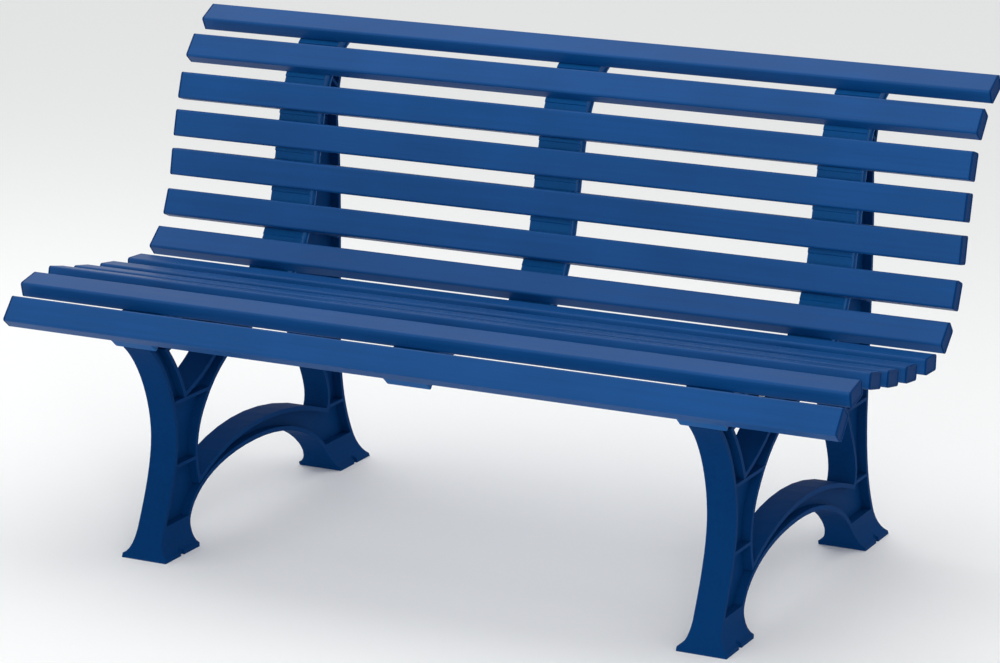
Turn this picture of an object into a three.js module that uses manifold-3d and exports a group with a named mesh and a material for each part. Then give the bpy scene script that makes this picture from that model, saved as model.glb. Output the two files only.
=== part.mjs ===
// Park bench with a back: hollow extruded slats on three moulded rails, carried by two moulded leg frames.
// Millimetres. +X runs along the bench, -Y is the sitting side, +Z is up, and the soles stand on Z = 0.
// The side view is drawn from the front sole's toe, at Y = 0, and the finished bench is centred at the end.
import * as THREE from 'three';
import Module from 'manifold-3d';

const kernel = await Module();
kernel.setup();
const { Manifold, Mesh: SolidMesh } = kernel;

// ---------------------------------------------------------------- driving dimensions
const benchLength = 1500;         // over the end caps
const supportSpacing = 514;       // middle of the bench to the middle of an end rail and its leg frame
const fitGap = 0.3;               // clearance left between two pieces that touch

const slatWidth = 48;
const slatThickness = 27;
const slatEdgeRadius = 4.5;
const slatWall = 2.4;
const slatWebThickness = 2.4;     // the wall that divides the hollow slat in two chambers
const chamberRadius = 1.5;

const capThickness = 3;
const capRimWidth = 2.6;
const capRecessDepth = 1;
const capPlugLength = 14;
const capPlugWall = 2.5;
const capPlugCorner = 1;

const railWidth = 80;
const railDepth = 27;             // from the slats' seats to the back of the rail
const railFrontReach = 20;        // rail below the middle of the first slat
const railTopReach = 28;          // rail above the middle of the last slat
const railPanelDepth = 3;         // sunk panel in each side of a rail
const railPanelRim = 6;

const frameThickness = 50;
const frameRim = 8;               // flange around every opening and outline of a leg frame
const framePanelDepth = 16;       // sunk panel in each side, inside the flanges
const footWidth = 87;
const footFlareHeight = 46;
const footEdgeHeight = 7;         // upright edge round the sole, below the flare
const footFlareEase = 2;          // where the flare's bend lies: out from the leg's side
const footFlareRise = 6;          // and up from the upright edge
const footLength = 112;
const footSpread = 728;           // front sole's toe to the rear sole's heel
const ribThickness = 6;
const braceRibSlats = [7, 9, 11];  // the brace has a rib behind each of these slats, counted from 0
const braceReach = 200;           // how far the brace's ribs run from the rail's back, past the rear edge
const forkHeadroom = 2;           // between a bolt's head and the flange over the fork opening
const forkBendReach = -14;        // the opening's roof bends here, along the first bolted slat
const forkTipReach = -18;         // and ends here, along the slat after it
const anchorSlotRadius = 6;
const anchorSlotDepth = 9;

// The bends in the brace's rear edge, going up: the slat each one is behind, counted from 0, how far it is
// up that slat's face from the middle, and how far it is behind the rail.
const braceBelly = { slat: 8, along: 16, behind: 113 };
const braceKnee = { slat: 10, along: -21, behind: 76.5 };
const braceNeckLow = { slat: 10, along: 16.5, behind: 61.5 };
const braceNeckHigh = { slat: 12, along: -17, behind: 44 };
const braceTip = { slat: 12, along: 8, behind: 24 };

const boltSlats = [3, 5, 8, 10];   // a leg frame has a bolt behind each of these slats, counted from 0
const boltDiameter = 8;
const boltHoleClearance = 0.5;
const boltHeadWidth = 13;         // across the flats
const boltHeadHeight = 5.5;
const boltGrip = 18;              // how far a bolt reaches into its rail
const boltEndClearance = 1;
const boltSeatClearance = 1;      // under a head, because the flange it bears on is drawn in short flats

// The slats in order from the seat's front edge to the top of the back. The pitch is the step from the
// slat before, face middle to face middle. The lean is the face's tilt away from upright, in degrees:
// 0 faces the sitter and 90 faces the sky.
const firstSlat = { y: -39, z: 424.5 };
const slatRun = [
  { name: 'seat_1', pitch: 0, lean: 40 },
  { name: 'seat_2', pitch: 75, lean: 77 },
  { name: 'seat_3', pitch: 88, lean: 102 },
  { name: 'seat_4', pitch: 80, lean: 100 },
  { name: 'seat_5', pitch: 84, lean: 97 },
  { name: 'seat_6', pitch: 91, lean: 92 },
  { name: 'back_1', pitch: 70, lean: 49 },
  { name: 'back_2', pitch: 69, lean: 23 },
  { name: 'back_3', pitch: 72, lean: 11 },
  { name: 'back_4', pitch: 70.5, lean: 14 },
  { name: 'back_5', pitch: 68.5, lean: 18 },
  { name: 'back_6', pitch: 78, lean: 40 },
  { name: 'back_7', pitch: 82, lean: 62 },
];

// ---------------------------------------------------------------- small helpers
const roundSides = 12;            // sides of a small round solid
const rad = (degrees) => (degrees * Math.PI) / 180;
const point = (y, z) => new THREE.Vector2(y, z);

// A slat's place on the side view: its face middle, the way up its face and the way into the slat.
function placeSlats() {
  const places = [];
  let middle = point(firstSlat.y, firstSlat.z);
  slatRun.forEach((slat, i) => {
    if (i > 0) {
      const heading = rad((slat.lean + slatRun[i - 1].lean) / 2);
      middle = point(middle.x + slat.pitch * Math.sin(heading), middle.y + slat.pitch * Math.cos(heading));
    }
    const lean = rad(slat.lean);
    const up = point(Math.sin(lean), Math.cos(lean));
    const inward = point(Math.cos(lean), -Math.sin(lean));
    places.push({ name: slat.name, middle, up, inward });
  });
  return places;
}

const slats = placeSlats();

// The point at a distance up a slat's face and a depth below it.
function onSlat(place, along, depth) {
  return place.middle.clone().addScaledVector(place.up, along).addScaledVector(place.inward, depth);
}

// A geometry as a solid that can be joined and cut, and back again.
function solidOf(geometry) {
  const position = geometry.getAttribute('position');
  const index = geometry.index
    ? Uint32Array.from(geometry.index.array)
    : Uint32Array.from({ length: position.count }, (_, i) => i);
  const vertices = Float32Array.from(position.array);
  const mesh = new SolidMesh({ numProp: 3, vertProperties: vertices, triVerts: index });
  mesh.merge();
  return new Manifold(mesh);
}

function geometryOf(solid) {
  const mesh = solid.getMesh();
  const geometry = new THREE.BufferGeometry();
  geometry.setAttribute('position', new THREE.BufferAttribute(Float32Array.from(mesh.vertProperties), 3));
  geometry.setIndex(new THREE.BufferAttribute(Uint32Array.from(mesh.triVerts), 1));
  return geometry;
}

// A drawing carried a distance along its own third axis.
function extruded(outline, depth, holes = []) {
  const shape = new THREE.Shape(outline);
  shape.holes = holes.map((hole) => new THREE.Path(hole));
  return new THREE.ExtrudeGeometry(shape, { depth, bevelEnabled: false });
}

// A side-view outline (Y, Z) given a thickness along X, centred on x.
function plate(outline, thickness, x, holes = []) {
  const geometry = extruded(outline, thickness, holes);
  geometry.applyMatrix4(new THREE.Matrix4().set(
    0, 0, 1, x - thickness / 2,
    1, 0, 0, 0,
    0, 1, 0, 0,
    0, 0, 0, 1,
  ));
  return geometry;
}

const curvePoints = (curve, steps) => curve.getPoints(steps);
const bezier = (...corners) => new THREE.CubicBezierCurve(...corners.map((corner) => point(...corner)));

// Outline points without the repeats that two joined curves share.
function joined(...runs) {
  const points = runs.flat();
  const tooClose = 0.01;
  return points.filter((p, i) => p.distanceTo(points[(i + points.length - 1) % points.length]) > tooClose);
}

// A rounded rectangle centred on (0, 0), as a closed outline.
function roundedRectangle(width, height, radius, steps = 2) {
  const corners = [[1, 1, 0], [-1, 1, 90], [-1, -1, 180], [1, -1, 270]];
  return corners.flatMap(([sx, sy, start]) => {
    const cx = sx * (width / 2 - radius);
    const cy = sy * (height / 2 - radius);
    return Array.from({ length: steps + 1 }, (_, i) => {
      const angle = rad(start + (90 * i) / steps);
      return point(cx + radius * Math.cos(angle), cy + radius * Math.sin(angle));
    });
  });
}

// An outline moved towards its inside by a distance, each corner along the line that halves it.
function inset(outline, distance) {
  const sign = THREE.ShapeUtils.area(outline) > 0 ? 1 : -1;
  return outline.map((p, i) => {
    const before = outline[(i + outline.length - 1) % outline.length];
    const after = outline[(i + 1) % outline.length];
    const a = p.clone().sub(before).normalize();
    const b = after.clone().sub(p).normalize();
    const half = point(-(a.y + b.y), a.x + b.x).normalize();
    const stretch = 1 / Math.max(0.5, half.dot(point(-a.y, a.x)));
    return p.clone().addScaledVector(half, sign * distance * stretch);
  });
}

// ---------------------------------------------------------------- materials
function finish(name, colour, roughness) {
  const material = new THREE.MeshStandardMaterial({ color: colour, roughness, metalness: 0 });
  material.name = name;
  return material;
}
const slatPlastic = () => finish('slat_plastic', 0x1f4f8c, 0.45);
const capPlastic = () => finish('cap_plastic', 0x1b467f, 0.5);
const railPlastic = () => finish('rail_plastic', 0x174780, 0.55);
const framePlastic = () => finish('frame_plastic', 0x0f3b72, 0.5);
function boltSteel() {
  const material = new THREE.MeshStandardMaterial({ color: 0x9aa0a6, roughness: 0.35, metalness: 1 });
  material.name = 'bolt_steel';
  return material;
}

function part(name, geometry, material) {
  geometry.computeVertexNormals();
  const mesh = new THREE.Mesh(geometry, material);
  mesh.name = name;
  return mesh;
}

// ---------------------------------------------------------------- slats and their end caps
const tubeLength = benchLength - 2 * (capThickness + fitGap);
const chamberWidth = (slatWidth - 2 * slatWall - slatWebThickness) / 2;
const chamberHeight = slatThickness - 2 * slatWall;
const chamberOffset = (chamberWidth + slatWebThickness) / 2;

// Turns a piece drawn across a slat (up its face, out of its face, along X) to its place on the bench.
function layOnSlat(geometry, place, x = 0) {
  const middle = onSlat(place, 0, slatThickness / 2);
  geometry.applyMatrix4(new THREE.Matrix4().set(
    0, 0, 1, x,
    place.up.x, -place.inward.x, 0, middle.x,
    place.up.y, -place.inward.y, 0, middle.y,
    0, 0, 0, 1,
  ));
  return geometry;
}

function slatTube(place) {
  const chambers = [-1, 1].map((side) => {
    const chamber = roundedRectangle(chamberWidth, chamberHeight, chamberRadius, 1);
    return chamber.map((p) => point(p.x + side * chamberOffset, p.y));
  });
  const outline = roundedRectangle(slatWidth, slatThickness, slatEdgeRadius);
  const geometry = extruded(outline, tubeLength, chambers);
  geometry.translate(0, 0, -tubeLength / 2);
  return part(`slat_${place.name}`, layOnSlat(geometry, place), slatPlastic());
}

// A cap: a plate with a sunk face, and one hollow plug for each chamber.
function endCap(place, side) {
  const cover = extruded(roundedRectangle(slatWidth, slatThickness, slatEdgeRadius), capThickness);
  const rim = roundedRectangle(slatWidth - 2 * capRimWidth, slatThickness - 2 * capRimWidth, chamberRadius);
  const recess = extruded(rim, capRecessDepth * 2);
  recess.translate(0, 0, capThickness - capRecessDepth);
  const plugs = [-1, 1].map((chamber) => {
    const width = chamberWidth - 2 * fitGap;
    const height = chamberHeight - 2 * fitGap;
    const ring = roundedRectangle(width, height, chamberRadius, 1);
    const hollow = roundedRectangle(width - 2 * capPlugWall, height - 2 * capPlugWall, capPlugCorner, 1);
    const plug = extruded(ring, capPlugLength + capThickness / 2, [hollow]);
    plug.translate(chamber * chamberOffset, 0, -capPlugLength);
    return solidOf(plug);
  });
  const solid = Manifold.union([solidOf(cover), ...plugs]).subtract(solidOf(recess));
  const geometry = geometryOf(solid);
  if (side < 0) geometry.rotateY(Math.PI);
  geometry.translate(0, 0, side * (benchLength / 2 - capThickness));
  const end = side < 0 ? 'left' : 'right';
  return part(`cap_${place.name}_${end}`, layOnSlat(geometry, place), capPlastic());
}

// ---------------------------------------------------------------- rails
// The line at a depth below the slats' faces, from the front of the seat to the top of the back. Each slat
// has a flat seat on it as wide as the slat, and straight stretches join the seats.
function seatLine(depth) {
  return slats.flatMap((place, i) => {
    const low = i === 0 ? -railFrontReach : -slatWidth / 2;
    const high = i === slats.length - 1 ? railTopReach : slatWidth / 2;
    return [onSlat(place, low, depth), onSlat(place, high, depth)];
  });
}

// The back of a rail, a smooth line at an even depth through a point behind each slat, with straight ends.
const stepsPerSlat = 3;

function railBackLine(depth) {
  const last = slats.length - 1;
  const behind = new THREE.SplineCurve(slats.map((place) => onSlat(place, 0, depth)));
  return [
    onSlat(slats[0], -railFrontReach, depth),
    ...curvePoints(behind, stepsPerSlat * last),
    onSlat(slats[last], railTopReach, depth),
  ];
}

const railFront = slatThickness + fitGap;
const railBack = railFront + railDepth;

function railOutline() {
  return joined(seatLine(railFront), railBackLine(railBack).reverse());
}

function rail(name, x, boltHoles) {
  const outline = railOutline();
  const panel = inset(outline, railPanelRim);
  let solid = solidOf(plate(outline, railWidth, x));
  for (const side of [-1, 1]) {
    const sunk = plate(panel, railPanelDepth * 2, x + (side * railWidth) / 2);
    solid = solid.subtract(solidOf(sunk));
  }
  for (const hole of boltHoles) solid = solid.subtract(solidOf(hole));
  return part(name, geometryOf(solid), railPlastic());
}

// ---------------------------------------------------------------- leg frames
// The frame bears on the rails' back, up to the middle of the top slat. Its curves are drawn at these sizes
// and stretched to the foot spread and the leg's height.
const drawnSpread = 728;
const drawnHeight = 373;
const frameTopLine = railBackLine(railBack + fitGap).slice(0, -1);
const railFrontEnd = frameTopLine[0];
const legTop = railFrontEnd.y;
const leg = (y, z) => point((y * footSpread) / drawnSpread, (z * legTop) / drawnHeight);
const legCurve = (...ends) => new THREE.CubicBezierCurve(...ends.map(([y, z]) => leg(y, z)));
const rearFootStart = footSpread - footLength;

// A curve that starts on the leg drawing and ends on the rail.
function curveToRail(start, first, second, end) {
  return new THREE.CubicBezierCurve(leg(...start), leg(...first), leg(...second), end);
}

// A point level with a place on a slat's face, and a distance behind the rail's back.
const behindRail = ({ slat, along, behind }) => onSlat(slats[slat], along, railBack + behind);

// The front branch meets the rail at its front end, and the brace ends behind the top slat. Up the back the
// brace's rear edge follows the slats.
const braceTop = behindRail(braceTip);
const braceMiddle = behindRail(braceKnee);
const braceBulge = behindRail(braceBelly);
const braceLow = behindRail(braceNeckLow);
const braceHigh = behindRail(braceNeckHigh);

// The edges of a leg frame in side view, each from its lower or front end.
const frontLower = legCurve([0, 0], [22, 50], [70, 130], [71, 200]);
const frontUpper = curveToRail([71, 200], [71, 260], [38, 335], railFrontEnd);
const archFront = legCurve([112, 40], [118, 85], [190, 130], [340, 130]);
const archRear = legCurve([340, 130], [470, 130], [590, 80], [616, 0]);
const rearLower = legCurve([728, 0], [690, 60], [655, 110], [652, 230]);
const rearMiddle = new THREE.CubicBezierCurve(leg(652, 230), leg(652, 400), braceBulge, braceMiddle);
const rearUpper = new THREE.CubicBezierCurve(braceMiddle, braceLow, braceHigh, braceTop);

// The big opening over the arch: its sill is the arch's upper edge.
const openingSides = [
  legCurve([150, 112], [245, 165], [400, 193], [598, 122]),
  legCurve([598, 122], [612, 150], [590, 185], [570, 225]),
  legCurve([570, 225], [530, 305], [470, 342], [400, 342]),
  legCurve([400, 342], [300, 342], [215, 300], [172, 240]),
  legCurve([172, 240], [140, 200], [134, 155], [150, 112]),
];

// The small opening between the two branches of the front leg. Its roof stays clear of the first bolt's
// head: below the rail come a flange, the head, some headroom and the opening's own flange.
const forkRoof = 2 * frameRim + boltSeatClearance + boltHeadHeight + forkHeadroom;
const forkBend = onSlat(slats[boltSlats[0]], forkBendReach, railBack + forkRoof);
const forkTip = onSlat(slats[boltSlats[0] + 1], forkTipReach, railBack + forkRoof);
const forkSides = [
  legCurve([106, 274], [92, 308], [74, 334], [54, 358]),
  new THREE.CubicBezierCurve(leg(54, 358), leg(100, 374), forkBend, forkTip),
  new THREE.CubicBezierCurve(forkTip, leg(215, 320), leg(155, 290), leg(106, 274)),
];

function frameOutline() {
  const steps = 12;
  return joined(
    [leg(0, 0), leg(footLength, 0)],
    curvePoints(archFront, steps),
    curvePoints(archRear, steps),
    curvePoints(rearLower, steps),
    curvePoints(rearMiddle, steps / 2),
    curvePoints(rearUpper, steps / 2),
    frameTopLine.slice().reverse(),
    curvePoints(frontUpper, steps).reverse(),
    curvePoints(frontLower, steps).reverse(),
  );
}

const closed = (sides, steps) => joined(...sides.map((side) => curvePoints(side, steps)));

// The flared foot as seen from the front: an upright edge round the sole, then a hollow curve to the leg.
function footProfile() {
  const half = footWidth / 2;
  const neck = frameThickness / 2;
  const edge = point(half, footEdgeHeight);
  const bend = point(neck + footFlareEase, footEdgeHeight + footFlareRise);
  const flare = new THREE.QuadraticBezierCurve(edge, bend, point(neck, footFlareHeight));
  const right = [point(half, 0), ...curvePoints(flare, 5)];
  const left = right.map((p) => point(-p.x, p.y)).reverse();
  return [...right, ...left];
}

// One foot: the wide outline of the leg cut to the flared profile over a stretch of Y.
function foot(outline, x, start) {
  const margin = 30;
  const length = footLength + 2 * margin;
  const flared = extruded(footProfile(), length);
  flared.rotateX(Math.PI / 2);
  flared.translate(x, start + length - margin, 0);
  const wide = solidOf(plate(outline, footWidth, x));
  let solid = wide.intersect(solidOf(flared));
  const slotHeight = 2 * footFlareHeight;
  const slotOut = footWidth / 2 - anchorSlotDepth + anchorSlotRadius;
  for (const side of [-1, 1]) {
    const slot = new THREE.CylinderGeometry(anchorSlotRadius, anchorSlotRadius, slotHeight, roundSides);
    slot.rotateX(Math.PI / 2);
    slot.translate(x + side * slotOut, start + footLength / 2, 0);
    solid = solid.subtract(solidOf(slot));
  }
  return solid;
}

// A strip across a sunk panel, left standing as a rib.
function ribStrip(from, to, x) {
  const along = to.clone().sub(from).normalize();
  const across = point(-along.y, along.x).multiplyScalar(ribThickness / 2);
  const corners = [
    from.clone().add(across), from.clone().sub(across),
    to.clone().sub(across), to.clone().add(across),
  ];
  return solidOf(plate(corners, footWidth, x));
}

// Ribs cross the front leg, the rear leg and the brace, and fan from the rail's back to the rear edge.
function frameRibs(x) {
  const crossings = [
    [leg(40, 150), leg(155, 150)],
    [leg(40, 262), leg(195, 262)],
    [leg(590, 123), leg(690, 123)],
    [leg(530, 262), leg(670, 262)],
  ];
  const fans = braceRibSlats.map((i) => {
    const start = onSlat(slats[i], 0, railBack);
    return [start, onSlat(slats[i], 0, railBack + braceReach)];
  });
  return [...crossings, ...fans].map(([from, to]) => ribStrip(from, to, x));
}

// The sunk panels of both sides: the outline inside its flanges, less the openings' flanges, feet and ribs.
function sunkPanels(outline, openings, x) {
  const inner = inset(outline, frameRim);
  const holes = openings.map((hole) => inset(hole, -frameRim));
  const keep = [...frameRibs(x)];
  const footBlock = new THREE.BoxGeometry(footWidth, 2 * footSpread, 2 * (footFlareHeight + frameRim));
  footBlock.translate(x, 0, 0);
  keep.push(solidOf(footBlock));
  return [-1, 1].map((side) => {
    const depth = 2 * framePanelDepth;
    const panel = solidOf(plate(inner, depth, x + (side * frameThickness) / 2));
    const cuts = holes.map((hole) => solidOf(plate(hole, 2 * depth, x + (side * frameThickness) / 2)));
    return panel.subtract(Manifold.union([...keep, ...cuts]));
  });
}

function legFrame(name, x, boltHoles) {
  const outline = frameOutline();
  const openings = [closed(openingSides, 10), closed(forkSides, 6)];
  const feet = [foot(outline, x, 0), foot(outline, x, rearFootStart)];
  let solid = Manifold.union([solidOf(plate(outline, frameThickness, x, openings)), ...feet]);
  for (const panel of sunkPanels(outline, openings, x)) solid = solid.subtract(panel);
  for (const hole of boltHoles) solid = solid.subtract(solidOf(hole));
  return part(name, geometryOf(solid), framePlastic());
}

// ---------------------------------------------------------------- the bolts that hold a rail to its frame
// Each bolt lies square to its slat's seat, off to one side of the frame's web, with its head on the inside
// of the flange that bears on the rail.
// A geometry drawn along +Y, turned to point out of a slat and set at a depth below the slat's face.
function alongSlatNormal(geometry, place, depth, x) {
  const foot = onSlat(place, 0, depth);
  geometry.applyMatrix4(new THREE.Matrix4().set(
    1, 0, 0, x,
    0, -place.inward.x, place.inward.y, foot.x,
    0, -place.inward.y, -place.inward.x, foot.y,
    0, 0, 0, 1,
  ));
  return geometry;
}

const boltHeadDepth = railBack + fitGap + frameRim + boltSeatClearance;
const boltLength = frameRim + fitGap + boltSeatClearance + boltGrip;
const boltX = (x) => x + Math.sign(x) * (frameThickness / 2 - framePanelDepth / 2);

function boltHole(place, x) {
  const radius = boltDiameter / 2 + boltHoleClearance;
  const length = boltLength + boltEndClearance + boltHeadHeight;
  const hole = new THREE.CylinderGeometry(radius, radius, length, roundSides);
  hole.translate(0, length / 2 - boltHeadHeight, 0);
  return alongSlatNormal(hole, place, boltHeadDepth, boltX(x));
}

function bolt(place, x, side) {
  const shankOverlap = 1;
  const radius = boltDiameter / 2;
  const headRadius = boltHeadWidth / Math.sqrt(3);
  const shank = new THREE.CylinderGeometry(radius, radius, boltLength + shankOverlap, roundSides);
  shank.translate(0, (boltLength - shankOverlap) / 2, 0);
  const head = new THREE.CylinderGeometry(headRadius, headRadius, boltHeadHeight, 6);
  head.translate(0, -boltHeadHeight / 2, 0);
  const geometry = geometryOf(Manifold.union([solidOf(shank), solidOf(head)]));
  alongSlatNormal(geometry, place, boltHeadDepth, boltX(x));
  return part(`bolt_${side}_${place.name}`, geometry, boltSteel());
}

// ---------------------------------------------------------------- the bench
function bench() {
  const group = new THREE.Group();
  group.name = 'park_bench';
  for (const place of slats) {
    group.add(slatTube(place));
    group.add(endCap(place, -1));
    group.add(endCap(place, 1));
  }
  group.add(rail('rail_middle', 0, []));
  for (const [side, x] of [['left', -supportSpacing], ['right', supportSpacing]]) {
    const bolted = boltSlats.map((i) => slats[i]);
    const holes = () => bolted.map((place) => boltHole(place, x));
    group.add(rail(`rail_${side}`, x, holes()));
    group.add(legFrame(`leg_frame_${side}`, x, holes()));
    for (const place of bolted) group.add(bolt(place, x, side));
  }
  return group;
}

// Moves the bench along Y so that the middle of its box stands over the origin.
function centred(group) {
  const box = new THREE.Box3().setFromObject(group);
  const middle = (box.min.y + box.max.y) / 2;
  for (const mesh of group.children) mesh.geometry.translate(0, -middle, 0);
  return group;
}

export default centred(bench());
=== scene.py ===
import math

import bmesh
import bpy
import numpy as np
from bpy.props import FloatProperty, FloatVectorProperty, IntProperty, PointerProperty
from bpy.types import Operator, Panel, PropertyGroup
from mathutils import Matrix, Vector
from mathutils.geometry import tessellate_polygon


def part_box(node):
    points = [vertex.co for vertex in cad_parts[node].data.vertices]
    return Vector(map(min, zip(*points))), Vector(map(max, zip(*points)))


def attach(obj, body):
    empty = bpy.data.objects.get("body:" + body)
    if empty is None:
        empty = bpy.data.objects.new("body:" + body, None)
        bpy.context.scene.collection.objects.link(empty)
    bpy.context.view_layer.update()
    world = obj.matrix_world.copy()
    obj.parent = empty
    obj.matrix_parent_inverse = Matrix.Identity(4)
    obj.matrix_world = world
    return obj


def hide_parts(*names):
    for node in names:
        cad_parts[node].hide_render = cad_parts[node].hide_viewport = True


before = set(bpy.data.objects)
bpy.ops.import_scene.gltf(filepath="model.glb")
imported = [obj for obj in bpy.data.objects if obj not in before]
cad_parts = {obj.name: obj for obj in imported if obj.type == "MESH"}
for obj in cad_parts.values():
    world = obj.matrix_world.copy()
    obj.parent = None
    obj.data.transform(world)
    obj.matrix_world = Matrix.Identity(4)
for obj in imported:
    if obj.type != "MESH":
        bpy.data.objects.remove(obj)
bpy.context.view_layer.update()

bl_info = {
    "name": "Park Bench with Back",
    "version": (1, 0, 0),
    "blender": (4, 5, 0),
    "location": "View3D > Sidebar > Bench",
    "description": "Dresses the packed bench: slats, end caps, rails, leg frames, bolts and screws",
    "category": "Object",
}

NODES = sorted(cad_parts)
FIT_GAP = 0.0003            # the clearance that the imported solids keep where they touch

# How much each plastic mirrors. A real clean plastic is near 0.5. These are lower than that, to keep the blue
# deep under a white sky and floor, so other lights may need them higher.
SLAT_REFLECTION = 0.17
CAP_REFLECTION = 0.02
RAIL_REFLECTION = 0.1
LEG_FRAME_REFLECTION = 0.02


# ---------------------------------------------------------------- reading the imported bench
def node_corners(node):
    """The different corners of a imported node's solid, as an (n, 3) array."""
    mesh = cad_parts[node].data
    corners = np.empty(len(mesh.vertices) * 3, np.float32)
    mesh.vertices.foreach_get("co", corners)
    return np.unique(corners.reshape(-1, 3).astype(float).round(6), axis=0)


def slat_place(name):
    """Where a slat lies on the side view (Y, Z), worked out from its solid.

    The cross-section's corners spread most along the slat's face and least through its thickness, so
    the two axes of their spread are the way up the face and the way into the slat.
    """
    corners = np.unique(node_corners(f"slat_{name}")[:, 1:], axis=0)
    middle = corners.mean(axis=0)
    spread, axes = np.linalg.eigh(np.cov((corners - middle).T))
    up = axes[:, np.argmax(spread)]
    if up.sum() < 0:
        up = -up
    inward = np.array([up[1], -up[0]])
    along, through = (corners - middle) @ up, (corners - middle) @ inward
    return {
        "name": name,
        "middle": middle - inward * np.ptp(through) / 2,
        "up": up,
        "inward": inward,
        "width": np.ptp(along),
        "thickness": np.ptp(through),
    }


def slat_order(name):
    """Seat slats come first, from the front edge, and then the back slats, from the bottom."""
    part, number = name.split("_")
    return (part == "back", int(number))


SLAT_NAMES = sorted((n[len("slat_"):] for n in NODES if n.startswith("slat_")), key=slat_order)
SLATS = [slat_place(name) for name in SLAT_NAMES]
RAILS = [n for n in NODES if n.startswith("rail_")]
LEG_FRAMES = [n for n in NODES if n.startswith("leg_frame_")]
BOLTS = [n for n in NODES if n.startswith("bolt_")]


def on_slat(place, along, depth):
    """The side-view point at a distance up a slat's face and a depth below it."""
    return place["middle"] + place["up"] * along + place["inward"] * depth


# ---------------------------------------------------------------- sizes and colours a user would change
def to_linear(colour):
    """An sRGB hex colour as linear red, green and blue: a straight toe, then a power of 2.4."""
    channels = np.array([int(colour[i:i + 2], 16) for i in (0, 2, 4)]) / 255
    toe = channels / 12.92
    curve = ((channels + 0.055) / 1.055) ** 2.4
    return tuple(np.where(channels <= 0.04045, toe, curve))


def length(name, description, default):
    """A property that holds a length in metres."""
    return FloatProperty(name=name, description=description, default=default, min=0.0,
                         subtype="DISTANCE", unit="LENGTH", precision=4)


def colour(name, description, default):
    """A property that holds a surface colour."""
    return FloatVectorProperty(name=name, description=description, default=to_linear(default),
                               subtype="COLOR", size=3, min=0.0, max=1.0)


class BenchSlatSizes(PropertyGroup):
    edge_radius: length("Edge radius", "Round along the four long edges of a slat", 0.0045)
    wall: length("Wall", "Wall of the hollow slat", 0.0024)
    divider: length("Divider", "Wall between the slat's two chambers", 0.0024)
    chamber_radius: length("Chamber radius", "Round in the chambers' corners", 0.0015)


class BenchCapSizes(PropertyGroup):
    thickness: length("Thickness", "Part of the cap that stands outside the slat", 0.003)
    rim_width: length("Rim width", "Raised rim around the cap's sunk face", 0.0026)
    recess_depth: length("Recess depth", "How far the face is sunk inside its rim", 0.001)
    edge_round: length("Edge round", "Round on the cap's outer edge", 0.0009)
    plug_length: length("Plug length", "How far the plugs reach into the slat", 0.014)
    plug_wall: length("Plug wall", "Wall of the hollow plugs", 0.0025)
    plug_lead: length("Plug lead-in", "Chamfer at a plug's tip", 0.001)


class BenchRailSizes(PropertyGroup):
    depth: length("Depth", "From the slats' seats to the back of the rail", 0.027)
    front_reach: length("Front reach", "Rail below the middle of the first slat", 0.020)
    top_reach: length("Top reach", "Rail above the middle of the last slat", 0.028)
    edge_round: length("Edge round", "Round on the rail's long edges", 0.002)
    panel_depth: length("Panel depth", "How far each side is sunk between its flanges", 0.003)
    panel_rim: length("Panel rim", "Flange beside a sunk side panel", 0.006)
    step_depth: length("Step depth", "How far the rail steps back between two slats", 0.0024)
    ledge_share: FloatProperty(name="Ledge share", default=0.3, min=0.05, max=0.8, subtype="FACTOR",
                               description="Share of a gap where the rail stands proud under the upper slat")


class BenchLegFrameSizes(PropertyGroup):
    edge_round: length("Edge round", "Round on the edges of a leg frame", 0.0018)
    round_steps: IntProperty(name="Round steps", default=2, min=1, max=4,
                             description="Facets across each rounded edge")


class BenchFastenerSizes(PropertyGroup):
    bolt_diameter: length("Bolt diameter", "Shank of the bolts that hold the rails", 0.008)
    bolt_head_width: length("Bolt head width", "Bolt head across its flats", 0.013)
    bolt_head_height: length("Bolt head height", "Height of a bolt's head", 0.0055)
    thread_pitch: length("Thread pitch", "Rise of the bolt's thread in one turn", 0.00125)
    screw_diameter: length("Screw diameter", "Shank of the slat screws", 0.0048)
    screw_head_diameter: length("Screw head diameter", "Pan head of the slat screws", 0.0095)
    screw_head_height: length("Screw head height", "Height of the pan head", 0.0032)
    screw_offset: length("Screw offset", "From the middle of a rail to each of its screws", 0.032)
    screw_reach: length("Screw reach", "How far a screw goes past the rail, into the slat", 0.006)


class BenchFinishes(PropertyGroup):
    slat_blue: colour("Slat blue", "Extruded polypropylene slats", "08447E")
    # The caps' blue is darker than the slats', as painted shade on the bench's shadowed ends.
    cap_blue_with_painted_shade: colour("Cap blue", "Moulded end caps", "053163")
    # The rails' blue is lighter than the slats', as painted light on the rails where they show between the
    # slats.
    rail_blue_with_painted_light: colour("Rail blue", "Moulded rails", "0B5290")
    # The leg frames' blue is darker than the slats': partly their own colour, partly painted shade for the
    # light they lose under the seat.
    frame_blue_with_painted_shade: colour("Leg frame blue", "Moulded leg frames", "043263")
    zinc_grey: colour("Zinc grey", "Zinc plating on the fasteners", "B9BDC1")


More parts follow.
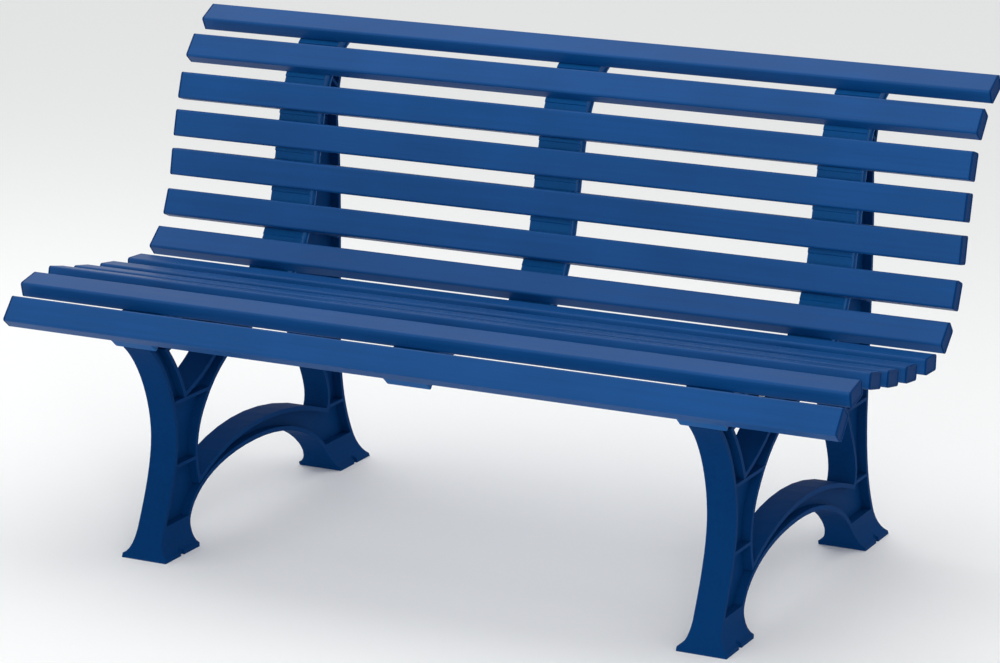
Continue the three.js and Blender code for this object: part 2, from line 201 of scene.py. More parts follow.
class BenchStageSettings(PropertyGroup):
    floor_colour: colour("Floor colour", "Matt pale floor", "F7F8F8")
    key_power: FloatProperty(name="Key light", description="Soft box in front of the camera", default=46.0,
                             min=0.0, unit="POWER")
    top_power: FloatProperty(name="Top light", description="Soft box over the back", default=20.0,
                              min=0.0, unit="POWER")
    sky_strength: FloatProperty(name="Sky strength", description="Even light from all round",
                                default=0.8, min=0.0)
    azimuth: FloatProperty(name="Camera azimuth", description="Camera's turn round the bench",
                           default=0.457608, subtype="ANGLE", unit="ROTATION")
    elevation: FloatProperty(name="Camera elevation", description="Camera's height as an angle",
                             default=0.254488, subtype="ANGLE", unit="ROTATION")
    roll: FloatProperty(name="Camera roll", description="Turn about the camera's own axis",
                        default=0.0070431, subtype="ANGLE", unit="ROTATION")
    distance: length("Camera distance", "From the camera to the point it turns round", 6.0230994)
    aim_height: length("Aim height", "Height of the point that the camera turns round", 0.400)
    aim_forward: length("Aim forward", "That point's distance in front of the bench's middle", 0.0378315)
    slide_right: FloatProperty(name="Slide right", description="Camera moved along its own right",
                               default=0.0084843, unit="LENGTH")
    slide_down: FloatProperty(name="Slide down", description="Camera moved down its own upright",
                              default=0.0045468, unit="LENGTH")
    focal_length: FloatProperty(name="Focal length", description="Lens in millimetres", default=129.04,
                                min=1.0, unit="CAMERA")


# ---------------------------------------------------------------- outlines and surfaces
def rounded_rectangle(width, height, radius, steps=6):
    """A rectangle's outline with each corner a quarter circle, anticlockwise from the right-hand side."""
    turn = np.radians(np.linspace(0, 90, steps + 1))
    corner = np.stack([np.cos(turn), np.sin(turn)], axis=1) * radius
    centres = np.array([width / 2 - radius, height / 2 - radius])
    quarters = []
    for quarter in range(4):
        c, s = (1, 0, -1, 0)[quarter], (0, 1, 0, -1)[quarter]
        spin = np.array([[c, s], [-s, c]])
        signs = np.sign(np.array([1.0, 1.0]) @ spin)
        quarters.append(corner @ spin + signs * centres)
    return np.vstack(quarters)


def walls(first, stations, count, flip=False):
    """Quads between the copies of a closed loop of count points that follow each other in the list."""
    row, i = np.meshgrid(np.arange(stations - 1), np.arange(count), indexing="ij")
    near = first + row * count
    here, beside = near + i, near + (i + 1) % count
    quads = np.stack([here, beside, beside + count, here + count], axis=-1).reshape(-1, 4)
    return (quads[:, ::-1] if flip else quads).tolist()


def filled(loops, flip=False):
    """Triangles that fill the flat area inside the first loop and outside the others.

    Each loop is a pair: its points in the plane, and the numbers of its corners in the mesh.
    """
    numbers = np.concatenate([ids for _, ids in loops])
    outlines = [[(x, y, 0.0) for x, y in points] for points, _ in loops]
    triangles = numbers[np.array(tessellate_polygon(outlines))]
    return (triangles[:, ::-1] if flip else triangles).tolist()


def smooth_through(points, where):
    """A curve through points, read at positions counted in points from the first one.

    Between two points a cubic leaves the one and reaches the other parallel to the line that joins
    their neighbours, and the end points count as their own neighbours.
    """
    padded = np.vstack([points[:1], points, points[-1:]])
    i = np.clip(np.floor(where).astype(int), 0, len(points) - 2)
    t = (where - i)[:, None]
    before, start, end, after = (padded[i + k] for k in range(4))
    leave, reach = (end - before) / 2, (after - start) / 2
    cubic = (2 * start - 2 * end + leave + reach) * t**3
    return cubic + (3 * end - 3 * start - 2 * leave - reach) * t**2 + leave * t + start


def carried(section, place, x):
    """A section drawn across a slat (up its face, out of its face) set at its place, at each x."""
    middle = on_slat(place, 0, place["thickness"] / 2)
    side = middle + section[:, :1] * place["up"] - section[:, 1:] * place["inward"]
    stations = np.asarray(x, float)
    across = np.broadcast_to(stations[:, None, None], (len(stations), len(section), 1))
    along = np.broadcast_to(side, (len(stations), len(section), 2))
    return np.concatenate([across, along], axis=2).reshape(-1, 3)


# ---------------------------------------------------------------- pieces
def closed_mesh(name, vertices, faces):
    """A mesh of one closed surface whose faces all point outwards."""
    mesh = bpy.data.meshes.new(name)
    mesh.from_pydata(np.asarray(vertices).tolist(), [], faces)
    work = bmesh.new()
    work.from_mesh(mesh)
    bmesh.ops.recalc_face_normals(work, faces=work.faces)
    if work.calc_volume(signed=True) < 0:
        bmesh.ops.reverse_faces(work, faces=work.faces)
    work.to_mesh(mesh)
    work.free()
    mesh.validate()
    return mesh


def add_piece(name, mesh, material, nodes=(), crease=math.radians(35)):
    """Puts a finished mesh on the bench: it rides on the root, and the imported nodes it stands for are
    hidden.
    """
    piece = bpy.data.objects.new(name, mesh)
    bpy.context.scene.collection.objects.link(piece)
    mesh.materials.clear()
    mesh.materials.append(material)
    mesh.shade_smooth()
    mesh.set_sharp_from_angle(angle=crease)
    normals = piece.modifiers.new("even_normals", "WEIGHTED_NORMAL")
    normals.keep_sharp = True
    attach(piece, "root")
    if nodes:
        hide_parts(*nodes)
    return piece


# ---------------------------------------------------------------- materials
def add_node(tree, kind, inputs=None, **settings):
    """Adds a node with its settings, and gives each named input a value or a link."""
    node = tree.nodes.new(kind)
    for key, value in settings.items():
        setattr(node, key, value)
    for key, value in (inputs or {}).items():
        if isinstance(value, bpy.types.NodeSocket):
            tree.links.new(value, node.inputs[key])
        else:
            node.inputs[key].default_value = value
    return node


def new_material(name):
    """An empty node material and the tree that it is built in."""
    material = bpy.data.materials.new(name)
    material.use_nodes = True
    material.node_tree.nodes.clear()
    return material, material.node_tree


def shade(colour_value, factor):
    """A colour made lighter or darker by a factor, with its alpha."""
    return (*(min(1.0, channel * factor) for channel in colour_value), 1.0)


def coloured_plastic(name, blue, roughness, reflection, grain, grain_depth, stretch=(1.0, 1.0, 1.0)):
    """Polypropylene coloured right through, as it comes from a die or a mould.

    Big soft clouds and small flecks vary its blue by up to a tenth, the same flecks vary its
    gloss, and a fine grain and a slow waviness move its surface. grain and grain_depth are in metres.
    """
    cloud_size, fleck_size, wave_size, wave_depth = 0.16, 0.007, 0.09, 0.00012
    material, tree = new_material(name)
    place = add_node(tree, "ShaderNodeTexCoord").outputs["Object"]
    drawn = add_node(tree, "ShaderNodeMapping", {"Vector": place, "Scale": stretch}).outputs["Vector"]
    clouds = add_node(tree, "ShaderNodeTexNoise", {
        "Vector": place, "Scale": 1 / cloud_size, "Detail": 3.0, "Roughness": 0.55})
    flecks = add_node(tree, "ShaderNodeTexNoise", {
        "Vector": drawn, "Scale": 1 / fleck_size, "Detail": 4.0, "Roughness": 0.6})
    grains = add_node(tree, "ShaderNodeTexNoise", {
        "Vector": drawn, "Scale": 1 / grain, "Detail": 2.0, "Roughness": 0.5})
    waves = add_node(tree, "ShaderNodeTexNoise", {
        "Vector": place, "Scale": 1 / wave_size, "Detail": 1.0, "Roughness": 0.4})
    mottle = add_node(tree, "ShaderNodeMath", {
        0: clouds.outputs["Fac"], 1: flecks.outputs["Fac"]}, operation="ADD")
    tone = add_node(tree, "ShaderNodeMapRange", {
        "Value": mottle.outputs["Value"], "From Min": 0.7, "From Max": 1.3})
    tint = add_node(tree, "ShaderNodeMix", {
        "Factor": tone.outputs["Result"], "A": shade(blue, 0.9), "B": shade(blue, 1.1)},
        data_type="RGBA")
    gloss = add_node(tree, "ShaderNodeMapRange", {
        "Value": flecks.outputs["Fac"], "From Min": 0.3, "From Max": 0.7,
        "To Min": roughness - 0.05, "To Max": roughness + 0.06})
    wavy = add_node(tree, "ShaderNodeBump", {
        "Height": waves.outputs["Fac"], "Strength": 1.0, "Distance": wave_depth})
    grainy = add_node(tree, "ShaderNodeBump", {
        "Height": grains.outputs["Fac"], "Strength": 1.0, "Distance": grain_depth,
        "Normal": wavy.outputs["Normal"]})
    shader = add_node(tree, "ShaderNodeBsdfPrincipled", {
        "Base Color": tint.outputs["Result"], "Roughness": gloss.outputs["Result"],
        "Normal": grainy.outputs["Normal"], "IOR": 1.49, "Specular IOR Level": reflection})
    add_node(tree, "ShaderNodeOutputMaterial", {"Surface": shader.outputs["BSDF"]})
    return material


def extruded_polypropylene(finishes):
    """Slats: extruded polypropylene. The die leaves faint straight lines along the slat's length."""
    return coloured_plastic("extruded_polypropylene", finishes.slat_blue, roughness=0.44,
                            reflection=SLAT_REFLECTION, grain=0.0016, grain_depth=0.00002,
                            stretch=(0.02, 1.0, 1.0))


def moulded_cap_polypropylene(finishes):
    """Caps: injection-moulded polypropylene, from a spark-eroded mould with a fine even grain. Its blue is
    darker than the slats', as painted shade on the bench's shadowed ends.
    """
    return coloured_plastic("moulded_cap_polypropylene", finishes.cap_blue_with_painted_shade, roughness=0.48,
                            reflection=CAP_REFLECTION, grain=0.0012, grain_depth=0.00004)


def moulded_rail_polypropylene(finishes):
    """Rails: the same plastic moulded thick. It is a little duller than the slats. Its blue is lighter than
    theirs, as painted light on the rails between the slats.
    """
    return coloured_plastic("moulded_rail_polypropylene", finishes.rail_blue_with_painted_light, roughness=0.52,
                            reflection=RAIL_REFLECTION, grain=0.0018, grain_depth=0.00005)


def structural_foam_polypropylene(finishes):
    """Leg frames: thick structural-foam moulding. It shows soft swirls and a matt grain. Its blue is darker
    than the slats': partly the frames' own colour, partly painted shade for the light they lose under the
    seat.
    """
    return coloured_plastic("structural_foam_polypropylene", finishes.frame_blue_with_painted_shade, roughness=0.6,
                            reflection=LEG_FRAME_REFLECTION, grain=0.0022, grain_depth=0.00006)


def zinc_plated_steel(finishes):
    """Fasteners: cold-headed steel with bright zinc plating, slightly clouded by handling."""
    cloud_size, scratch_size = 0.004, 0.0008
    material, tree = new_material("zinc_plated_steel")
    place = add_node(tree, "ShaderNodeTexCoord").outputs["Object"]
    clouds = add_node(tree, "ShaderNodeTexNoise", {
        "Vector": place, "Scale": 1 / cloud_size, "Detail": 4.0})
    scratches = add_node(tree, "ShaderNodeTexNoise", {
        "Vector": place, "Scale": 1 / scratch_size, "Detail": 2.0})
    tint = add_node(tree, "ShaderNodeMix", {
        "Factor": clouds.outputs["Fac"], "A": shade(finishes.zinc_grey, 0.8),
        "B": shade(finishes.zinc_grey, 1.05)}, data_type="RGBA")
    gloss = add_node(tree, "ShaderNodeMapRange", {
        "Value": clouds.outputs["Fac"], "To Min": 0.24, "To Max": 0.45})
    relief = add_node(tree, "ShaderNodeBump", {
        "Height": scratches.outputs["Fac"], "Distance": 0.00002})
    shader = add_node(tree, "ShaderNodeBsdfPrincipled", {
        "Base Color": tint.outputs["Result"], "Roughness": gloss.outputs["Result"],
        "Metallic": 1.0, "Normal": relief.outputs["Normal"]})
    add_node(tree, "ShaderNodeOutputMaterial", {"Surface": shader.outputs["BSDF"]})
    return material


# ---------------------------------------------------------------- slats
def chamber_layout(place, sizes):
    """Width, height and offset from the slat's middle of its two chambers."""
    width = (place["width"] - 2 * sizes.wall - sizes.divider) / 2
    return width, place["thickness"] - 2 * sizes.wall, (width + sizes.divider) / 2


def slat_mesh(place, sizes):
    """A hollow slat: a rounded rectangle and its two chambers, carried along X and closed at the ends."""
    lowest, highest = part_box(f"slat_{place['name']}")
    ends = [lowest.x, highest.x]
    width, height, offset = chamber_layout(place, sizes)
    chamber = rounded_rectangle(width, height, sizes.chamber_radius, steps=3)
    sections = [rounded_rectangle(place["width"], place["thickness"], sizes.edge_radius, steps=6)]
    sections += [chamber + (side * offset, 0) for side in (-1, 1)]
    vertices, faces, loops = [], [], []
    first = 0
    for number, section in enumerate(sections):
        count = len(section)
        vertices.append(carried(section, place, ends))
        faces += walls(first, len(ends), count, flip=number > 0)
        loops.append((section, first + np.arange(count)))
        first += count * len(ends)
    faces += filled(loops, flip=True)
    faces += filled([(section, ids + len(section)) for section, ids in loops])
    return closed_mesh(f"slat_{place['name']}", np.vstack(vertices), faces)


class BENCH_OT_slats(Operator):
    """Makes the thirteen hollow slats of the seat and the back"""
    bl_idname = "bench.slats"
    bl_label = "Slats"

    def execute(self, context):
        scene = context.scene
        material = extruded_polypropylene(scene.bench_finishes)
        for place in SLATS:
            name = place["name"]
            mesh = slat_mesh(place, scene.bench_slats)
            add_piece(f"slat_tube_{name}", mesh, material, [f"slat_{name}"])
        return {"FINISHED"}


# ---------------------------------------------------------------- end caps
def cap_profile(sizes):
    """The cap's outside from its back edge to its sunk face: (inset from the edge, height) pairs.

    The side rises straight, a quarter circle turns it on to the rim, and the rim drops through a
    small round and a sloped wall to the face.
    """
    turn = np.radians(np.linspace(0, 90, 5))
    edge, soft = sizes.edge_round, sizes.edge_round / 3
    outer = np.stack([edge * (1 - np.cos(turn)), sizes.thickness - edge * (1 - np.sin(turn))], axis=1)
    brink = np.stack([sizes.rim_width - soft * (1 - np.sin(turn)),
                      sizes.thickness - soft * (1 - np.cos(turn))], axis=1)
    floor = [[sizes.rim_width + soft, sizes.thickness - sizes.recess_depth]]
    return np.vstack([[[0.0, 0.0]], outer, brink, floor])


def cap_mesh(place, end, slat_sizes, sizes):
    """An end cap: rounded rectangles that shrink and rise along its profile, and two hollow plugs.

    end is -1 for the left cap and 1 for the right one, which is the same shape turned to face +X.
    """
    lowest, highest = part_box(f"cap_{place['name']}_{'left' if end < 0 else 'right'}")
    outside = lowest.x if end < 0 else highest.x
    seat = outside - end * sizes.thickness
    least_radius = 0.0008       # the inner outlines keep at least this round in their corners
    rings = [
        (rounded_rectangle(place["width"] - 2 * inset, place["thickness"] - 2 * inset,
                           max(slat_sizes.edge_radius - inset, least_radius)), height)
        for inset, height in cap_profile(sizes)
    ]
    vertices = [carried(ring, place, [seat + end * height]) for ring, height in rings]
    count = len(rings[0][0])
    faces = walls(0, len(rings), count)
    faces += filled([(rings[-1][0], count * (len(rings) - 1) + np.arange(count))])
    back = [(rings[0][0], np.arange(count))]
    first = count * len(rings)
    width, height, offset = chamber_layout(place, slat_sizes)
    width, height = width - 2 * FIT_GAP, height - 2 * FIT_GAP
    lead, wall, radius = sizes.plug_lead, sizes.plug_wall, slat_sizes.chamber_radius
    steps = [
        (0.0, 0.0), (0.0, sizes.plug_length - lead), (lead / 2, sizes.plug_length),
        (wall, sizes.plug_length), (wall, 0.0),
    ]
    for side in (-1, 1):
        plug = [
            (rounded_rectangle(width - 2 * inset, height - 2 * inset, max(radius - inset, least_radius),
                               steps=3) + (side * offset, 0), depth)
            for inset, depth in steps
        ]
        around = len(plug[0][0])
        vertices += [carried(ring, place, [seat - end * depth]) for ring, depth in plug]
        faces += walls(first, len(plug), around, flip=True)
        back.append((plug[0][0], first + np.arange(around)))
        faces += filled([(plug[-1][0], first + around * (len(plug) - 1) + np.arange(around))], flip=True)
        first += around * len(plug)
    faces += filled(back, flip=True)
    return closed_mesh(f"cap_{place['name']}", np.vstack(vertices), faces)


class BENCH_OT_caps(Operator):
    """Makes the two moulded end caps of every slat"""
    bl_idname = "bench.caps"
    bl_label = "End caps"

    def execute(self, context):
        scene = context.scene
        material = moulded_cap_polypropylene(scene.bench_finishes)
        for place in SLATS:
            for end, side in ((-1, "left"), (1, "right")):
                node = f"cap_{place['name']}_{side}"
                mesh = cap_mesh(place, end, scene.bench_slats, scene.bench_caps)
                add_piece(f"end_{node}", mesh, material, [node])
        return {"FINISHED"}


# ---------------------------------------------------------------- rails
def rail_front_line(sizes):
    """The rail's front on the side view, and each point's position counted in slats.

    It is flat under every slat. Between two slats it steps back, and near the upper slat it steps
    forward again to a ledge.
    """
    half_seat = 0.32            # the flat under a slat takes this much of a step to each side
    ramp = 0.05                 # share of a gap that each step back or forward takes
    last = len(SLATS) - 1
    positions, points = [], []
    for i, place in enumerate(SLATS):
        depth = place["thickness"] + FIT_GAP
        low = -sizes.front_reach if i == 0 else -place["width"] / 2
        high = sizes.top_reach if i == last else place["width"] / 2
        positions += [i - half_seat, i + half_seat]
        points += [on_slat(place, low, depth), on_slat(place, high, depth)]
        if i == last:
            break
        above = SLATS[i + 1]
        start, end = points[-1], on_slat(above, -above["width"] / 2, above["thickness"] + FIT_GAP)
        span = end - start
        back = np.array([span[1], -span[0]]) / np.hypot(*span) * sizes.step_depth
        ledge = 1 - sizes.ledge_share
        for share, sunk in ((ramp / 2, 0), (ramp * 1.5, 1), (ledge - ramp / 2, 1), (ledge + ramp / 2, 0)):
            positions.append(i + half_seat + (1 - 2 * half_seat) * share)
            points.append(start + span * share + back * sunk)
    return np.array(positions), np.array(points)


def rail_section(width, sizes):
    """Half of the rail's section, from the middle of its front to the middle of its back.

    Columns are the distance from the rail's middle, the depth below its front, and how much of the
    point's place moves inwards with the sunk side panel. The corners are quarter circles.
    """
    half, depth, turn = width / 2, sizes.depth, np.radians(np.linspace(0, 90, 5))
    radius, rim = sizes.edge_round, sizes.panel_rim
    draft = 0.001               # the panel's wall slopes over this distance
    front = np.stack([half - radius * (1 - np.sin(turn)), radius * (1 - np.cos(turn))], axis=1)
    back = np.stack([half - radius * (1 - np.cos(turn)), depth - radius * (1 - np.sin(turn))], axis=1)
    side = np.array([[half, rim - draft], [half, rim], [half, depth - rim], [half, depth - rim + draft]])
    points = np.vstack([[[0.0, 0.0]], front, side, back, [[0.0, depth]]])
    sunk = np.zeros(len(points))
    sunk[1 + len(front) + 1] = sunk[1 + len(front) + 2] = 1.0
    return np.column_stack([points, sunk])


def rail_mesh(node, sizes):
    """A rail: its section carried along the slats, with rounded ends.

    The front half of each section hangs from the front line and the back half from the back line,
    which is a smooth curve at an even depth behind the slats.
    """
    step, panel_start, panel_fade = 0.08, 0.1, 0.04     # all counted in slats
    lowest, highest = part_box(node)
    middle, width = (lowest.x + highest.x) / 2, highest.x - lowest.x
    key_positions, key_points = rail_front_line(sizes)
    fine = np.arange(key_positions[0], key_positions[-1], step)
    where = np.unique(np.concatenate([key_positions, fine]).round(6))
    front = np.stack([np.interp(where, key_positions, key_points[:, k]) for k in (0, 1)], axis=1)
    last = len(SLATS) - 1
    deep = [place["thickness"] + FIT_GAP + sizes.depth for place in SLATS]
    behind = np.array([on_slat(place, 0, d) for place, d in zip(SLATS, deep)])
    back = smooth_through(behind, np.clip(where, 0, last))
    below, above = np.clip(where / where[0], 0, None), np.clip((where - last) / (where[-1] - last), 0, None)
    back -= below[:, None] * (where < 0)[:, None] * SLATS[0]["up"] * sizes.front_reach
    back += above[:, None] * (where > last)[:, None] * SLATS[-1]["up"] * sizes.top_reach
    half = rail_section(width, sizes)
    mirrored = half[-2:0:-1] * (-1, 1, 1)
    section = np.vstack([half, mirrored])
    across, depth, sunk = section.T
    inward = (back - front) / np.linalg.norm(back - front, axis=1, keepdims=True)
    ends = np.minimum(where - where[0], where[-1] - where)
    panel = np.clip((ends - panel_start) / panel_fade, 0, 1)
    turn = np.radians([0, 30, 60, 90])
    radius = sizes.edge_round
    rings = []
    for j in range(len(where)):
        tight = np.zeros(1)
        shift = np.zeros(1)
        if j in (0, len(where) - 1):
            tight, shift = radius * (1 - np.cos(turn)), -radius * (1 - np.sin(turn))
            if j == 0:
                tight, shift = tight[::-1], shift[::-1]
        way = -SLATS[0]["up"] if j == 0 else SLATS[-1]["up"]
        for inset, move in zip(tight, shift):
            x = across * (1 - inset / (width / 2)) - np.sign(across) * sunk * panel[j] * sizes.panel_depth
            d = sizes.depth / 2 + (depth - sizes.depth / 2) * (1 - inset / (sizes.depth / 2))
            hangs_from_back = d > sizes.depth / 2
            from_front = front[j] + inward[j] * d[:, None]
            from_back = back[j] - inward[j] * (sizes.depth - d)[:, None]
            side = np.where(hangs_from_back[:, None], from_back, from_front) + way * move
            rings.append(np.column_stack([middle + x, side]))
    count = len(section)
    faces = walls(0, len(rings), count)
    faces.append(list(range(count))[::-1])
    faces.append([count * (len(rings) - 1) + i for i in range(count)])
    return closed_mesh(node, np.vstack(rings), faces)


class BENCH_OT_rails(Operator):
    """Makes the three moulded rails that carry the slats"""
    bl_idname = "bench.rails"
    bl_label = "Rails"

    def execute(self, context):
        scene = context.scene
        material = moulded_rail_polypropylene(scene.bench_finishes)
        for node in RAILS:
            mesh = rail_mesh(node, scene.bench_rails)
            add_piece(f"moulded_{node}", mesh, material, [node])
        return {"FINISHED"}


# ---------------------------------------------------------------- leg frames
def merged_copy(node):
    """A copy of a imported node's solid with its corners joined."""
    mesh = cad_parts[node].data.copy()
    work = bmesh.new()
    work.from_mesh(mesh)
    bmesh.ops.remove_doubles(work, verts=work.verts, dist=1e-5)
    work.to_mesh(mesh)
    work.free()
    return mesh


EDGE_ANGLE = math.radians(32)       # corners sharper than this are edges of the moulding, and get a round


class BENCH_OT_leg_frames(Operator):
    """Makes the two moulded leg frames, with their sharp edges rounded as a mould rounds them"""
    bl_idname = "bench.leg_frames"
    bl_label = "Leg frames"

    def execute(self, context):
        scene = context.scene
        sizes = scene.bench_leg_frames
        material = structural_foam_polypropylene(scene.bench_finishes)
        for node in LEG_FRAMES:
            piece = add_piece(f"moulded_{node}", merged_copy(node), material, [node])
            rounding = piece.modifiers.new("rounded_edges", "BEVEL")
            rounding.width = sizes.edge_round
            rounding.segments = sizes.round_steps
            rounding.limit_method = "ANGLE"
            rounding.angle_limit = EDGE_ANGLE
            rounding.miter_outer = "MITER_ARC"
            piece.modifiers.move(1, 0)
        return {"FINISHED"}


# ---------------------------------------------------------------- bolts and screws
def turned(rings, around):
    """A closed surface turned about an axis.

    Each ring is a pair of arrays: its radius at every angle, and its height at every angle. The two
    ends close on the axis. Heights run from the shank's tip up to the head.
    """
    angle = np.arange(around) * 2 * np.pi / around
    radius = np.array([r for r, _ in rings])
    height = np.array([h for _, h in rings])
    loops = np.stack([radius * np.cos(angle), radius * np.sin(angle), height], axis=-1)
    poles = np.array([[0, 0, height[0].mean()], [0, 0, height[-1].mean()]])
    vertices = np.vstack([loops.reshape(-1, 3), poles])
    faces = walls(0, len(rings), around)
    i = np.arange(around)
    tip, crown = len(vertices) - 2, len(vertices) - 1
    top = around * (len(rings) - 1)
    faces += np.stack([(i + 1) % around, i, np.full(around, tip)], axis=1).tolist()
    faces += np.stack([top + i, top + (i + 1) % around, np.full(around, crown)], axis=1).tolist()
    return vertices, faces


def set_along(vertices, foot, direction):
    """Turned vertices stood on a point, with their axis along a side-view direction and X kept."""
    across = np.array([1.0, 0.0, 0.0])
    axis = np.array([0.0, *direction])
    third = np.cross(axis, across)
    return foot + vertices @ np.stack([across, third, axis])


def bolt_rings(sizes, shank, around):
    """A hexagon-head bolt, from its tip: a threaded shank, a washer face and a chamfered hexagon.

    The thread's radius is a triangle wave of height plus turn. The hexagon's radius is half its width
    over the cosine of the angle from the nearest flat's middle, and never more than the chamfer's circle.
    """
    angle = np.arange(around) * 2 * np.pi / around
    one = np.ones(around)
    radius, pitch = sizes.bolt_diameter / 2, sizes.thread_pitch
    flat = sizes.bolt_head_width / 2
    thread_depth = 0.6 * pitch
    tip_radius = radius - 1.6 * thread_depth
    heights = np.arange(-shank + pitch, -pitch, pitch / 4)
    rings = [(one * tip_radius, one * -shank)]
    for height in heights:
        wave = np.abs(((height / pitch - angle / (2 * np.pi)) % 1) * 2 - 1)
        rings.append((radius - thread_depth * wave, one * height))
    rings.append((one * radius, one * 0.0))
    from_flat = (angle + np.pi / 6) % (np.pi / 3) - np.pi / 6
    hexagon = flat / np.cos(from_flat)
    washer_height, break_height = 0.0004, 0.0001
    washer, crown, crown_middle = flat * 0.98, flat * 0.97, flat * 0.5
    chamfer_angle = math.radians(30)
    top = sizes.bolt_head_height
    rings.append((one * washer, one * 0.0))
    rings.append((one * washer, one * washer_height))
    rings.append((hexagon * 0.995, one * (washer_height + break_height)))
    chamfer = np.clip((hexagon - flat) * math.tan(chamfer_angle), 0, None)
    rings.append((hexagon, one * (top - break_height) - chamfer))
    rings.append((one * crown, one * top))
    rings.append((one * crown_middle, one * top))
    return rings


class BENCH_OT_bolts(Operator):
    """Makes the hexagon bolts that hold the end rails to the leg frames"""
    bl_idname = "bench.bolts"
    bl_label = "Bolts"

    def execute(self, context):
        scene = context.scene
        sizes = scene.bench_fasteners
        material = zinc_plated_steel(scene.bench_finishes)
        places = {place["name"]: place for place in SLATS}
        around = 36
        for node in BOLTS:
            inward = places[node.split("_", 2)[2]]["inward"]
            corners = node_corners(node)
            depth = corners[:, 1:] @ inward
            head_top = corners[depth > depth.max() - 1e-5].mean(axis=0)
            under_head = head_top - np.array([0.0, *inward]) * sizes.bolt_head_height
            shank = np.ptp(depth) - sizes.bolt_head_height
            vertices, faces = turned(bolt_rings(sizes, shank, around), around)
            mesh = closed_mesh(node, set_along(vertices, under_head, inward), faces)
            add_piece(f"hexagon_{node}", mesh, material, [node], crease=math.radians(25))
        return {"FINISHED"}


def screw_rings(sizes, shank, around):
    """A pan-head screw, from its tip: a pointed shank, a domed head and a six-lobed socket.

    The dome's height follows a quarter ellipse, and the socket's radius is a circle plus a cosine of
    six times the angle.
    """
    angle = np.arange(around) * 2 * np.pi / around
    one = np.ones(around)
    radius, head, top = sizes.screw_diameter / 2, sizes.screw_head_diameter / 2, sizes.screw_head_height
    socket_share, lobe_share, lobes = 0.36, 0.12, 6
    socket = head * socket_share * (1 + lobe_share * np.cos(lobes * angle))
    rings = [(one * radius * 0.15, one * -shank), (one * radius, one * (-shank + 3 * radius))]
    rings += [(one * radius, one * 0.0), (one * head * 0.96, one * 0.0)]
    for turn in np.radians([0, 25, 50, 72]):
        rings.append((one * head * (0.45 + 0.55 * np.cos(turn)), one * top * (0.25 + 0.75 * np.sin(turn))))
    rings += [(socket * 1.06, one * top), (socket, one * top * 0.95), (socket * 0.94, one * top * 0.45)]
    return rings


class BENCH_OT_screws(Operator):
    """Makes the pan-head screws that come through the rails into the slats, two for each slat"""
    bl_idname = "bench.screws"
    bl_label = "Slat screws"

    def execute(self, context):
        scene = context.scene
        sizes, depth = scene.bench_fasteners, scene.bench_rails.depth
        material = zinc_plated_steel(scene.bench_finishes)
        around = 24
        vertices, faces = turned(screw_rings(sizes, depth + sizes.screw_reach, around), around)
        for node in RAILS:
            lowest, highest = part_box(node)
            middle = (lowest.x + highest.x) / 2
            all_vertices, all_faces = [], []
            for place in SLATS:
                behind = on_slat(place, 0, place["thickness"] + FIT_GAP + depth)
                for side in (-1, 1):
                    foot = np.array([middle + side * sizes.screw_offset, *behind])
                    first = len(vertices) * len(all_vertices)
                    all_faces += [[first + i for i in face] for face in faces]
                    all_vertices.append(set_along(vertices, foot, place["inward"]))
            mesh = closed_mesh(f"screws_{node}", np.vstack(all_vertices), all_faces)
            add_piece(f"slat_screws_{node}", mesh, material, crease=math.radians(40))
        return {"FINISHED"}


# ---------------------------------------------------------------- stage
def add_soft_box(name, power, size, location, target):
    """An area light turned to face a point."""
    light = bpy.data.lights.new(name, "AREA")
    light.shape = "RECTANGLE"
    light.size, light.size_y = size
    light.energy = power
    box = bpy.data.objects.new(name, light)
    bpy.context.scene.collection.objects.link(box)
    away = np.array(location) - np.array(target)
    z = away / np.linalg.norm(away)
    x = np.cross((0.0, 1.0, 0.0) if abs(z[2]) > 0.9 else (0.0, 0.0, 1.0), z)
    x /= np.linalg.norm(x)
    turn = np.eye(4)
    turn[:3, 0], turn[:3, 1], turn[:3, 2], turn[:3, 3] = x, np.cross(z, x), z, location
    box.matrix_world = Matrix(turn.tolist())


def add_camera(settings):
    """The camera: turned round a point on the bench, then slid a little in its own plane."""
    az, el = settings.azimuth, settings.elevation
    target = np.array([0.0, -settings.aim_forward, settings.aim_height])
    back = np.array([math.sin(az) * math.cos(el), -math.cos(az) * math.cos(el), math.sin(el)])
    level = np.array([math.cos(az), math.sin(az), 0.0])
    upright = np.cross(back, level)
    c, s = math.cos(settings.roll), math.sin(settings.roll)
    right, up = c * level + s * upright, c * upright - s * level
    place = np.eye(4)
    place[:3, 0], place[:3, 1], place[:3, 2] = right, up, back
    place[:3, 3] = target + back * settings.distance + right * settings.slide_right - up * settings.slide_down
    data = bpy.data.cameras.new("bench_camera")
    data.lens = settings.focal_length
    data.sensor_width = 36.0
    camera = bpy.data.objects.new("bench_camera", data)
    bpy.context.scene.collection.objects.link(camera)
    camera.matrix_world = Matrix(place.tolist())
    bpy.context.scene.camera = camera


def floor_material(tint):
    """A matt painted floor, with a faint roller texture."""
    roller_size = 0.012
    material, tree = new_material("matt_painted_floor")
    place = add_node(tree, "ShaderNodeTexCoord").outputs["Object"]
    roller = add_node(tree, "ShaderNodeTexNoise", {"Vector": place, "Scale": 1 / roller_size, "Detail": 3.0})
    relief = add_node(tree, "ShaderNodeBump", {"Height": roller.outputs["Fac"], "Distance": 0.0002})
    shader = add_node(tree, "ShaderNodeBsdfPrincipled", {
        "Base Color": (*tint, 1.0), "Roughness": 0.85, "Normal": relief.outputs["Normal"]})
    add_node(tree, "ShaderNodeOutputMaterial", {"Surface": shader.outputs["BSDF"]})
    return material


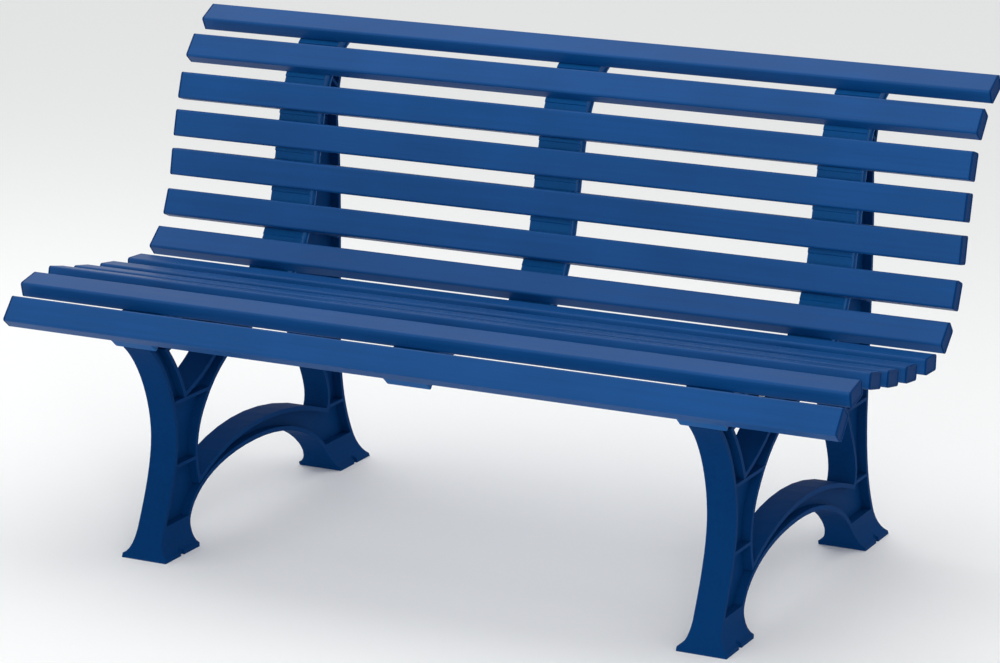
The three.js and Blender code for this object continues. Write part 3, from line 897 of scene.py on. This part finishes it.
class BENCH_OT_stage(Operator):
    """Makes the pale floor, the soft lights, the sky and the camera"""
    bl_idname = "bench.stage"
    bl_label = "Stage"

    def execute(self, context):
        scene = context.scene
        settings = scene.bench_stage
        half = 30.0             # half of the floor's side
        corners = [(-half, -half, 0), (half, -half, 0), (half, half, 0), (-half, half, 0)]
        mesh = bpy.data.meshes.new("floor")
        mesh.from_pydata(corners, [], [(0, 1, 2, 3)])
        mesh.materials.append(floor_material(settings.floor_colour))
        floor = bpy.data.objects.new("floor", mesh)
        scene.collection.objects.link(floor)
        seat_middle = (0.0, 0.0, 0.45)
        before_camera = (1.75, -3.5, 1.55)
        over_back, below_it = (-0.9, 0.5, 2.0), (-0.9, 0.5, 0.0)
        add_soft_box("front_soft_box", settings.key_power, (1.6, 1.6), before_camera, seat_middle)
        add_soft_box("top_soft_box", settings.top_power, (4.0, 2.0), over_back, below_it)
        world = scene.world or bpy.data.worlds.new("sky")
        scene.world = world
        world.use_nodes = True
        world.node_tree.nodes.clear()
        sky = add_node(world.node_tree, "ShaderNodeBackground", {
            "Color": (1.0, 1.0, 1.0, 1.0), "Strength": settings.sky_strength})
        add_node(world.node_tree, "ShaderNodeOutputWorld", {"Surface": sky.outputs["Background"]})
        scene.view_settings.view_transform = "Standard"
        add_camera(settings)
        return {"FINISHED"}


# ---------------------------------------------------------------- panel, registration and the run
STEPS = (BENCH_OT_slats, BENCH_OT_caps, BENCH_OT_rails, BENCH_OT_leg_frames, BENCH_OT_bolts,
         BENCH_OT_screws, BENCH_OT_stage)
SETTINGS = {
    "bench_slats": BenchSlatSizes,
    "bench_caps": BenchCapSizes,
    "bench_rails": BenchRailSizes,
    "bench_leg_frames": BenchLegFrameSizes,
    "bench_fasteners": BenchFastenerSizes,
    "bench_finishes": BenchFinishes,
    "bench_stage": BenchStageSettings,
}


class BENCH_PT_panel(Panel):
    """Lists the bench's steps and settings"""
    bl_idname = "BENCH_PT_panel"
    bl_label = "Park Bench"
    bl_space_type = "VIEW_3D"
    bl_region_type = "UI"
    bl_category = "Bench"

    def draw(self, context):
        layout = self.layout
        for step in STEPS:
            layout.operator(step.bl_idname)
        for name in SETTINGS:
            box = layout.box()
            box.label(text=name.replace("_", " ").capitalize())
            settings = getattr(context.scene, name)
            for key in settings.__annotations__:
                box.prop(settings, key)


def register():
    for settings in SETTINGS.values():
        bpy.utils.register_class(settings)
    for cls in (*STEPS, BENCH_PT_panel):
        bpy.utils.register_class(cls)
    for name, settings in SETTINGS.items():
        setattr(bpy.types.Scene, name, PointerProperty(type=settings))


def unregister():
    for name in SETTINGS:
        delattr(bpy.types.Scene, name)
    for cls in (BENCH_PT_panel, *reversed(STEPS), *reversed(SETTINGS.values())):
        bpy.utils.unregister_class(cls)


def main():
    """Runs every step in order."""
    register()
    bpy.ops.bench.slats()
    bpy.ops.bench.caps()
    bpy.ops.bench.rails()
    bpy.ops.bench.leg_frames()
    bpy.ops.bench.bolts()
    bpy.ops.bench.screws()
    bpy.ops.bench.stage()


if __name__ == "__main__":
    main()
